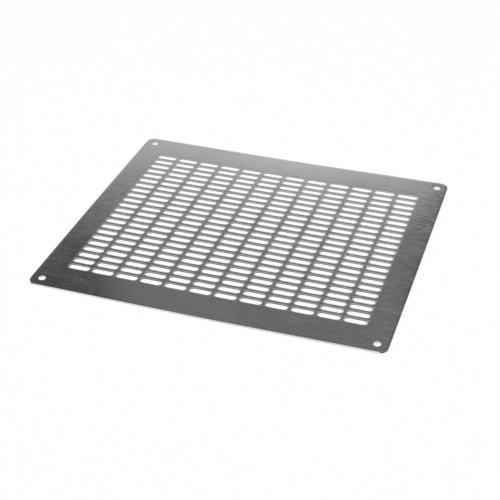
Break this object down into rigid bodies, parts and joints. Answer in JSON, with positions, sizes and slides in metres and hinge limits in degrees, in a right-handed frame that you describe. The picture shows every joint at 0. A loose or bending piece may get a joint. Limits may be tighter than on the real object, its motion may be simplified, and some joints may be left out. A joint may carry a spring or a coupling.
{
  "type": "slotted ventilation panel",
  "caption": "Flat rectangular sheet-metal panel with rounded corners, a punched field of round-ended ventilation slots and a screw hole near each corner.",
  "frame": {"origin": "middle of the sheet's underside", "axes": "+X along the slots and the panel's longer side, +Y across the slots, +Z out of the front face"},
  "size_m": [0.32, 0.28, 0.0015],
  "materials": {
    "sheet": "mill finish with a fine straight grain, satin"
  },
  "bodies": {
    "root": {"slotted_panel": "sheet"}
  },
  "joints": []
}
